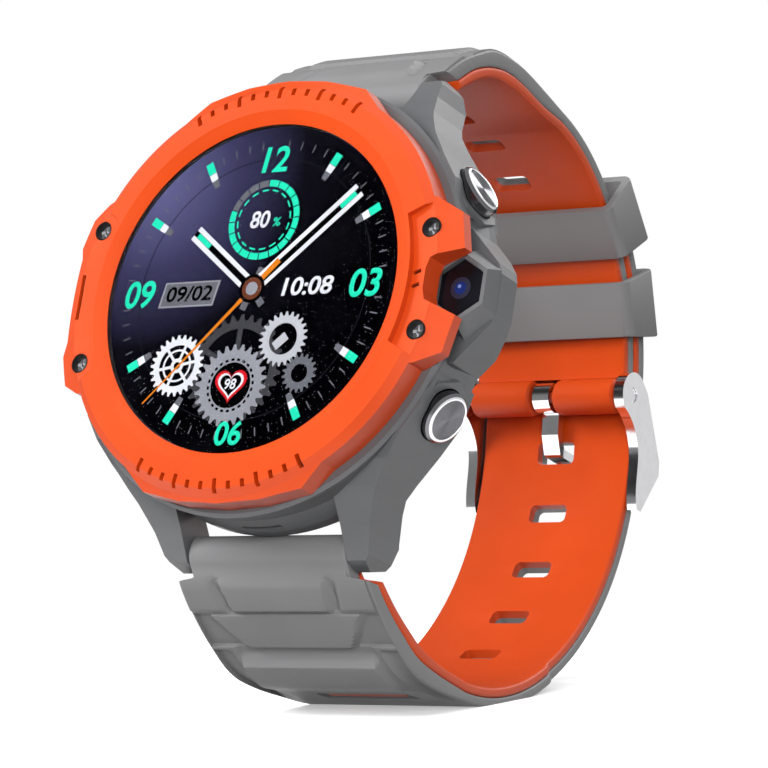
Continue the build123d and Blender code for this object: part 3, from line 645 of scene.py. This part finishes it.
class Sheet:
    """Collects flat shapes of one colour and level into one piece."""

    def __init__(self, name, finish, level, thick=0.008):
        self.name, self.finish, self.d = name, finish, layer_depth(level)
        self.thick, self.pts, self.faces = thick, [], []

    def band(self, inner, outer, closed=False):
        """A strip between two lines of points, with its edges and back closed."""
        a, b = np.asarray(inner, float), np.asarray(outer, float)
        n = len(a)
        base = len(self.pts)
        for line, d in ((a, 0), (b, 0), (b, 1), (a, 1)):
            for p in line:
                self.pts.append((p[0], self.d + d * self.thick, p[1]))
        q = np.array(grid_faces(4, n, wrap_u=True, wrap_v=closed)) + base
        self.faces += q.tolist()
        if not closed:
            self.faces.append([base + k * n for k in range(4)])
            self.faces.append([base + k * n + n - 1 for k in (3, 2, 1, 0)])

    def arc(self, cx, cy, r0, r1, a0=0.0, a1=360.0, n=None):
        full = abs(a1 - a0) >= 359.9
        n = n or max(3, int(abs(a1 - a0) / 4))
        a = np.radians(np.linspace(a0, a1, n + 1))
        if full:
            a = a[:-1]
        c = np.stack([np.cos(a), np.sin(a)], -1)
        self.band(np.array([cx, cy]) + r0 * c, np.array([cx, cy]) + r1 * c, closed=full)

    def bar(self, p0, p1, w0, w1=None):
        p0, p1 = np.array(p0, float), np.array(p1, float)
        w1 = w0 if w1 is None else w1
        t = (p1 - p0) / np.linalg.norm(p1 - p0)
        nrm = np.array([-t[1], t[0]])
        self.band([p0 + nrm * w0 / 2, p1 + nrm * w1 / 2], [p0 - nrm * w0 / 2, p1 - nrm * w1 / 2])

    def gear(self, cx, cy, r0, r1, teeth, tooth, spin=0.0):
        """A toothed ring: the outer line steps between root and tip."""
        ph = np.linspace(0, teeth, teeth * 8 + 1)[:-1]
        f = ph % 1.0
        up = bump_step(f, 0.20, 0.32) * (1 - bump_step(f, 0.68, 0.80))
        r = r1 - tooth * (1 - up)
        a = ph / teeth * 2 * np.pi + math.radians(spin)
        c = np.stack([np.cos(a), np.sin(a)], -1)
        self.band(np.array([cx, cy]) + r0 * c, np.array([cx, cy]) + r[:, None] * c, closed=True)

    def make(self):
        ob = add_piece(self.name, place(np.array(self.pts)), self.faces, self.finish, smooth=False,
                       weld=False)
        bm = bmesh.new()
        bm.from_mesh(ob.data)
        bmesh.ops.recalc_face_normals(bm, faces=bm.faces)
        bm.to_mesh(ob.data)
        bm.free()
        return ob


def ray(deg):
    """Direction on the dial, clockwise from twelve."""
    a = math.radians(deg)
    return np.array([math.sin(a), math.cos(a)])


# the dark dial, carrying its painted violet reflection
night = Sheet("dial_background", NIGHT_WITH_PAINTED_REFLECTION, 0)
night.arc(0, 0, 0.001, 19.9, n=96)
night.make()
smoke = Sheet("dial_inner_disc", SMOKE, 1)
smoke.arc(0, 0, 15.9, 16.0, n=96)
smoke.make()

ticks = Sheet("dial_minute_ticks", DIM, 2)
for i in range(60):
    if i % 5:
        ticks.bar(ray(i * 6) * 17.2, ray(i * 6) * 18.2, 0.13)
ticks.make()
tip_green = Sheet("dial_marker_tips", TEAL, 3)
tip_white = Sheet("dial_marker_bodies", WHITE, 3)
tip_grey = Sheet("dial_marker_ends", DIM, 3)
for h in (1, 2, 4, 5, 7, 8, 10, 11):
    v = ray(h * 30)
    tip_green.bar(v * 16.9, v * 18.4, 1.0, 1.0)
    tip_white.bar(v * 15.9, v * 16.85, 0.9, 1.0)
    tip_grey.bar(v * 14.9, v * 15.85, 0.7, 0.9)
for s in (tip_green, tip_white, tip_grey):
    s.make()

# battery ring
ring = Sheet("battery_ring_lit", TEAL, 3)
off = Sheet("battery_ring_off", DIM, 3)
for i in range(20):
    a = 90 - i * 18
    s = ring if i < 16 else off
    s.arc(0, 8.45, 4.1, 4.9, a - 16.2, a, 5)
for i in range(16):
    a = i * 22.5
    ring.arc(0, 8.45, 3.55, 3.75, a, a + 13.5, 4)
ring.make()
off.make()


def text_piece(name, words, x, y, height, finish, level, shear=0.14, bold=0.02, width=None, spin=0.0):
    """Numerals drawn as filled outlines, made a mesh, then placed flat on the dial."""
    cu = bpy.data.curves.new(name, "FONT")
    cu.body = words
    cu.align_x = "CENTER"
    cu.align_y = "CENTER"
    cu.shear = shear
    cu.offset = bold
    cu.extrude = 0.0
    tmp = bpy.data.objects.new(name, cu)
    bpy.context.collection.objects.link(tmp)
    dg = bpy.context.evaluated_depsgraph_get()
    me = bpy.data.meshes.new_from_object(tmp.evaluated_get(dg))
    bpy.data.objects.remove(tmp)
    co = np.empty(len(me.vertices) * 3)
    me.vertices.foreach_get("co", co)
    co = co.reshape(-1, 3)
    lo, hi = co.min(0), co.max(0)
    k = height / (hi[1] - lo[1])
    kx = k if width is None else width / (hi[0] - lo[0])
    co[:, 0] = (co[:, 0] - (lo[0] + hi[0]) / 2) * kx
    co[:, 1] = (co[:, 1] - (lo[1] + hi[1]) / 2) * k
    c, s = math.cos(spin), math.sin(spin)
    px = x + co[:, 0] * c - co[:, 1] * s
    py = y + co[:, 0] * s + co[:, 1] * c
    out = place(np.column_stack([px, np.full(len(px), layer_depth(level)), py]))
    me.vertices.foreach_set("co", out.ravel())
    me.materials.clear()
    me.materials.append(finish)
    ob = bpy.data.objects.new(name, me)
    bpy.context.collection.objects.link(ob)
    bm = bmesh.new()
    bm.from_mesh(me)
    bmesh.ops.remove_doubles(bm, verts=bm.verts, dist=1e-7)
    back = bmesh.ops.extrude_face_region(bm, geom=bm.faces[:])
    moved = [g for g in back["geom"] if isinstance(g, bmesh.types.BMVert)]
    bmesh.ops.translate(bm, verts=moved, vec=-turn((0, -1, 0)) * 0.000006)
    bmesh.ops.recalc_face_normals(bm, faces=bm.faces)
    bm.to_mesh(me)
    bm.free()
    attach(ob, "watch")
    return ob


text_piece("numeral_twelve", "12", 0.3, 15.9, 3.2, TEAL, 4, width=3.6)
text_piece("numeral_three", "03", 15.6, 0.0, 3.4, TEAL, 4, width=4.2)
text_piece("numeral_six", "06", 0.0, -17.4, 2.9, TEAL, 4, width=3.6)
text_piece("numeral_nine", "09", -16.0, 0.0, 3.4, TEAL, 4, width=4.2)
text_piece("battery_number", "80", -0.5, 8.5, 2.1, WHITE, 4, width=2.7)
text_piece("battery_unit", "%", 1.9, 8.1, 1.1, TEAL, 4, width=1.1, bold=0.015)
text_piece("time_numbers", "10:08", 7.7, 0.0, 2.2, WHITE, 4, width=7.0)

# date box
box = Sheet("date_box", SILVER, 2)
box.band([(-13.1, -1.8), (-12.5, 1.3)], [(-5.3, -1.8), (-4.7, 1.3)])
box.make()
frame_line = Sheet("date_box_inset", DIM, 3)
frame_line.band([(-12.8, -1.6), (-12.3, 1.1)], [(-5.5, -1.6), (-5.0, 1.1)])
frame_line.make()
text_piece("date_numbers", "09/02", -8.9, -0.2, 1.9, INK, 5, width=6.4)

# gears behind the hands
PULSE = np.array([-0.8, -11.65])
back_gear = Sheet("gear_back_dark", DUSK, 1)
back_gear.gear(-0.7, -9.7, 4.9, 6.6, 30, 0.75)
for deg in (0, 62, -62):
    v = ray(deg)
    back_gear.bar(v * 1.5 + (-0.7, -9.7), v * 5.0 + (-0.7, -9.7), 0.7)
back_gear.make()
white_gear = Sheet("gear_left_white", WHITE, 3)
LEFT_GEAR = np.array([-8.9, -9.0])
white_gear.gear(*LEFT_GEAR, 2.5, 3.75, 26, 0.5, 6)
white_gear.arc(*LEFT_GEAR, 0.45, 0.9, n=24)
white_gear.arc(*LEFT_GEAR, 1.75, 2.0, n=32)
for i in range(6):
    v = ray(i * 60 + 20)
    white_gear.bar(LEFT_GEAR + v * 0.85, LEFT_GEAR + v * 2.6, 0.36)
white_gear.make()
silver_gear = Sheet("gear_middle_silver", SILVER, 3)
silver_gear.gear(*PULSE, 2.75, 4.95, 26, 0.7, 3)
silver_gear.make()
dashes = Sheet("pulse_dashes", INK, 4)
for i in range(24):
    dashes.arc(*PULSE, 2.95, 3.25, i * 15, i * 15 + 8, 3)
dashes.make()
ring_gear = Sheet("gear_right_silver", PEARL, 3)
ring_gear.gear(5.5, -6.3, 1.9, 3.3, 24, 0.5, 8)
ring_gear.bar((4.4, -7.2), (5.9, -5.9), 1.1)
ring_gear.make()
small_gear = Sheet("gear_right_small", DIM, 3)
small_gear.gear(8.5, -10.5, 1.1, 2.35, 18, 0.45)
small_gear.make()
heart_back = Sheet("pulse_disc", INK, 4)
heart_back.arc(*PULSE, 0.001, 2.75, n=40)
heart_back.make()


def heart_line(scale, n=48):
    """A heart outline: the usual sine-cubed curve."""
    t = np.linspace(0, 2 * np.pi, n + 1)[:-1]
    x = 16 * np.sin(t) ** 3
    y = 13 * np.cos(t) - 5 * np.cos(2 * t) - 2 * np.cos(3 * t) - np.cos(4 * t)
    return np.stack([x, y], -1) / 17.0 * scale + PULSE + (0.0, 0.15)


for nm, fin, inner, outer, lv in (("pulse_heart_red", RED, 1.9, 2.35, 5),
                                  ("pulse_heart_white", WHITE, 1.55, 1.9, 6)):
    h = Sheet(nm, fin, lv)
    h.band(heart_line(inner), heart_line(outer), closed=True)
    h.make()
text_piece("pulse_number", "98", -0.8, -11.5, 1.25, WHITE, 6, width=1.6)

# hands: two pale rails with a dark gap between them, and a lit block near the tip
hands = Sheet("hands_white", WHITE, 7)
hand_core = Sheet("hands_dark_core", INK, 7)
hand_tip = Sheet("hands_teal_tip", TEAL, 8)
for deg, length in ((-52, 11.9), (48.5, 17.1)):
    v = ray(deg)
    off = ray(deg + 90) * 0.66
    for s in (1, -1):
        hands.bar(s * off + v * 0.9, s * off + v * length, 0.52, 0.62)
    hand_core.bar(v * 1.2, v * length, 0.68)
    hand_tip.bar(v * (length - 3.0), v * (length - 0.55), 0.62)
hands.make()
hand_core.make()
hand_tip.make()
hub_tabs = Sheet("hub_tabs", DIM, 6)
for deg in (20, 140, 200, 320):
    hub_tabs.bar(ray(deg) * 1.2, ray(deg) * 2.7, 0.9)
hub_tabs.make()
second = Sheet("second_hand", AMBER, 9)
v = ray(223.7)
second.bar(-v * 4.6, v * 2.5, 0.75, 0.5)
second.bar(v * 2.5, v * 18.7, 0.42, 0.16)
second.make()
for name, finish, level, radius in (("hub_shadow", INK, 10, 1.75), ("hub_ring", COPPER, 11, 1.35),
                                    ("hub_pin", SILVER, 12, 0.8)):
    hub = Sheet(name, finish, level)
    hub.arc(0, 0, 0.001, radius, n=40)
    hub.make()

# ------------------------------------------------------------------ near-black pieces of painted shade in recesses, and the lens
# near-black pieces set into the bezel's engraved bars, the left slot, the camera slits and the screw wells:
# painted shade where these recesses fall dark
RECESS_PAINTED_SHADE = moulded("near black painted shade", linear(14, 14, 15), 0.6, wear=0.0)


def block(name, x, u, long, wide, spin, top, foot, finish, slot="black_plastic"):
    """A plain box on the dial plane: centre, two sizes, turn, and the depths of its top and foot."""
    a = math.radians(spin)
    e, f = np.array([math.cos(a), math.sin(a)]) * long / 2, np.array([-math.sin(a), math.cos(a)]) * wide / 2
    ring4 = [e + f, -e + f, -e - f, e - f]
    p = place(np.array([[x + q[0], dep, u + q[1]] for dep in (foot, top) for q in ring4]))
    faces = [[0, 1, 2, 3], [7, 6, 5, 4]] + [[k, (k + 1) % 4, 4 + (k + 1) % 4, 4 + k] for k in range(4)]
    ob = add_piece(name, p, faces, finish, smooth=False)


# painted shade in the engraved bar marks at twelve and six
for i in range(-6, 7):
    for side, base in (("top", 90), ("foot", -90)):
        a = base + i * 4.6
        c = 23.9 * np.array([math.cos(math.radians(a)), math.sin(math.radians(a))])
        block(f"{side}_bar_painted_shade_{i + 7}", *c, 1.56 if i % 3 == 0 else 0.86, 0.51, a, 0.55, 1.23, RECESS_PAINTED_SHADE)
block("left_slot_painted_shade", -24.6, 0.0, 0.46, 5.56, 0.0, 0.8, 1.28, RECESS_PAINTED_SHADE)
for word, u in (("upper", 0.8), ("lower", -0.8)):
    block("camera_slit_painted_shade_" + word, 22.6, u, 0.96, 0.41, 20.0, 0.75, 1.28, RECESS_PAINTED_SHADE)


def dial_ring(name, x, u, r0, r1, top, foot, finish, n=40):
    """A flat ring or, with no inner radius, a disc that faces the same way as the dial: its square
    section is turned about an axis along the depth."""
    k = np.radians(np.linspace(0, 360, n + 1)[:-1])
    section = [(r0, foot), (r0, top), (r1, top), (r1, foot)]
    p = np.array([np.stack([x + r * np.cos(k), np.full(n, dep), u + r * np.sin(k)], -1)
                  for r, dep in section])
    ob = add_piece(name, place(p), grid_faces(4, n, wrap_u=True, wrap_v=True), finish)


# painted shade: a dark ring in each well round a bezel screw
for i, (x, u) in enumerate(((23.5, 6.05), (23.5, -6.05), (-23.0, 8.27), (-23.0, -8.27))):
    dial_ring(f"screw_well_painted_shade_{i + 1}", x, u, 1.0, 1.18, 0.42, 1.5, RECESS_PAINTED_SHADE)
# the lens's blue pupil glows although it is no lamp, a painted glow; the small pale disc beside its centre
# is a painted highlight
LENS_BLUE_PAINTED_GLOW = lit("lens blue with painted glow", linear(48, 66, 150), 0.5)
LENS_GLINT = lit("lens glint", linear(150, 165, 230), 0.7)
LENS_RING = moulded("lens barrel", linear(30, 34, 52), 0.4, wear=0.0)
dial_ring("camera_lens_surround", 26.2, 0.0, 0.75, 1.3, 3.975, 3.995, LENS_RING)
dial_ring("camera_lens_pupil", 26.2, 0.0, 0.001, 0.75, 3.970, 3.995, LENS_BLUE_PAINTED_GLOW)
dial_ring("camera_lens_glint", 26.05, 0.2, 0.001, 0.22, 3.955, 3.968, LENS_GLINT, 16)

# ------------------------------------------------------------------ button faces
BRUSHED = metal("button face brushed", (0.13, 0.13, 0.14), 0.12, (1, 1, 1), 2400.0)
POLISHED = metal("button rim polished", (0.8, 0.8, 0.82), 0.08)
for side, phi in (("power", 30.0), ("lower", -30.0)):
    ax = np.array([math.cos(math.radians(phi)), 0, math.sin(math.radians(phi))])
    cross = np.array([-ax[2], 0, ax[0]])
    dep = np.array([0, -1.0, 0])
    k = np.radians(np.linspace(0, 360, 65)[:-1])
    ringdir = np.cos(k)[:, None] * cross + np.sin(k)[:, None] * dep
    base = np.array([0, 8.8, 0])

    def turned(name, prof, finish, smooth=True):
        """A profile of (radius, height along the button's axis) turned about that axis."""
        pr = np.array(prof)
        p = base + pr[:, 1][:, None, None] * ax + pr[:, 0][:, None, None] * ringdir[None]
        ob = add_piece(name, place(p), grid_faces(len(pr), len(k), wrap_v=True), finish,
                       side + "_button", smooth=smooth)
        return ob
    turned(side + "_button_rim", [(2.42, 27.72), (2.45, 27.80), (2.53, 27.84), (2.64, 27.84),
                                  (2.76, 27.78), (2.84, 27.7)], POLISHED)
    rings = [(0.001, 27.72)] + [(0.075 * (k + 1), 27.72 + 0.026 * (k % 2)) for k in range(32)]
    turned(side + "_button_disc", rings, BRUSHED, False)

# ------------------------------------------------------------------ camera, floor, light
SENSOR_MM = 36.0
FOCAL_MM = 180.961
eye = Vector(place([255.51, -335.36, -133.03]))
right = turn((0.83438, 0.53043, 0.14942))
up = turn((0.03247, -0.31794, 0.94758))
back = turn((0.55009, -0.78579, -0.28254))
cam = bpy.data.cameras.new("camera")
cam.sensor_width = SENSOR_MM
cam.lens = FOCAL_MM
cam.clip_end = 10.0
cam_ob = bpy.data.objects.new("camera", cam)
bpy.context.collection.objects.link(cam_ob)
m = Matrix((right, up, back)).transposed().to_4x4()
m.translation = eye
cam_ob.matrix_world = m
bpy.context.scene.camera = cam_ob
bpy.context.scene.view_settings.view_transform = "Standard"

PALE = moulded("pale floor", linear(250, 250, 250), 0.9, 40.0, 0.0, 0.01, wear=0.0)
fn, fl = PALE.node_tree.nodes, PALE.node_tree.links
ftc = fn.new("ShaderNodeTexCoord")
fmp = fn.new("ShaderNodeMapping")
fmp.inputs["Scale"].default_value = (6.0, 6.0, 6.0)
fgr = fn.new("ShaderNodeTexGradient")
fgr.gradient_type = "SPHERICAL"
fl.new(ftc.outputs["Object"], fmp.inputs["Vector"])
fl.new(fmp.outputs["Vector"], fgr.inputs["Vector"])
fade = ramp(fn, fl, fgr.outputs["Fac"], [(0.0, (0, 0, 0, 1)), (0.35, (1, 1, 1, 1))])
fb = fn["Principled BSDF"]
fl.new(fade.outputs["Color"], fb.inputs["Alpha"])
fb.inputs["Emission Color"].default_value = (1, 1, 1, 1)
fb.inputs["Emission Strength"].default_value = 0.35
fb.inputs["Specular IOR Level"].default_value = 0.0
FLOOR = 0.3
corners = [(x, y, 0.0) for x in (-FLOOR, FLOOR) for y in (-FLOOR, FLOOR)]
me = bpy.data.meshes.new("floor")
me.from_pydata(corners, [], [[0, 2, 3, 1]])
floor = bpy.data.objects.new("floor", me)
bpy.context.collection.objects.link(floor)
me.materials.append(PALE)
floor.visible_diffuse = False

world = bpy.data.worlds.new("studio")
world.use_nodes = True
wn, wl = world.node_tree.nodes, world.node_tree.links
sky = wn["Background"]
ray_kind = wn.new("ShaderNodeLightPath")
wtc = wn.new("ShaderNodeTexCoord")
split = wn.new("ShaderNodeSeparateXYZ")
height = wn.new("ShaderNodeMapRange")
height.inputs["From Min"].default_value = -1.0
wl.new(wtc.outputs["Generated"], split.inputs["Vector"])
wl.new(split.outputs["Z"], height.inputs["Value"])


def greys(*stops):
    """Ramp stops from (place, brightness) pairs."""
    return [(at, (level,) * 3 + (1,)) for at, level in stops]


glow = ramp(wn, wl, height.outputs["Result"],
            greys((0.0, 0.03), (0.45, 0.06), (0.60, 0.22), (1.0, 0.60)))
# what polished metal mirrors: dark low down and on the left, bright above and on the right
lean = wn.new("ShaderNodeVectorMath")
lean.operation = "DOT_PRODUCT"
lean.inputs[1].default_value = (0.80, 0.10, 0.59)
wl.new(wtc.outputs["Generated"], lean.inputs[0])
spread = wn.new("ShaderNodeMapRange")
spread.inputs["From Min"].default_value = -1.0
wl.new(lean.outputs["Value"], spread.inputs["Value"])
mirror = ramp(wn, wl, spread.outputs["Result"],
              greys((0.0, 0.30), (0.36, 0.22), (0.46, 0.02), (0.56, 0.05), (0.64, 0.75), (1.0, 0.90)))


def choose(flag, a, b):
    """a for most rays and b for the kind of ray that the flag names, with plain white for no b."""
    mix = wn.new("ShaderNodeMix")
    mix.data_type = "RGBA"
    wl.new(ray_kind.outputs[flag], mix.inputs["Factor"])
    wl.new(a, mix.inputs["A"])
    if b is None:
        mix.inputs["B"].default_value = (1, 1, 1, 1)
    else:
        wl.new(b, mix.inputs["B"])
    return mix.outputs["Result"]


shine = choose("Is Glossy Ray", glow.outputs["Color"], mirror.outputs["Color"])
wl.new(choose("Is Camera Ray", shine, None), sky.inputs[0])
bpy.context.scene.world = world


def area(name, where, aim, size, power, mirrored=True):
    """A rectangular lamp turned towards aim. One that isn't mirrored leaves no bright patch on gloss."""
    d = bpy.data.lights.new(name, "AREA")
    d.shape = "RECTANGLE"
    d.size, d.size_y = size
    d.energy = power
    o = bpy.data.objects.new(name, d)
    o.location = where
    o.rotation_euler = (Vector(aim) - Vector(where)).to_track_quat("-Z", "Y").to_euler()
    o.visible_glossy = mirrored
    bpy.context.collection.objects.link(o)


mid = (0.0, 0.0, 0.045)
area("key", (-0.40, -0.38, 0.42), mid, (0.30, 0.30), 5.0, False)
area("front", (0.26, -0.48, 0.15), mid, (0.35, 0.20), 3.1, False)
area("back", (0.15, 0.5, 0.45), mid, (0.4, 0.3), 2.2)
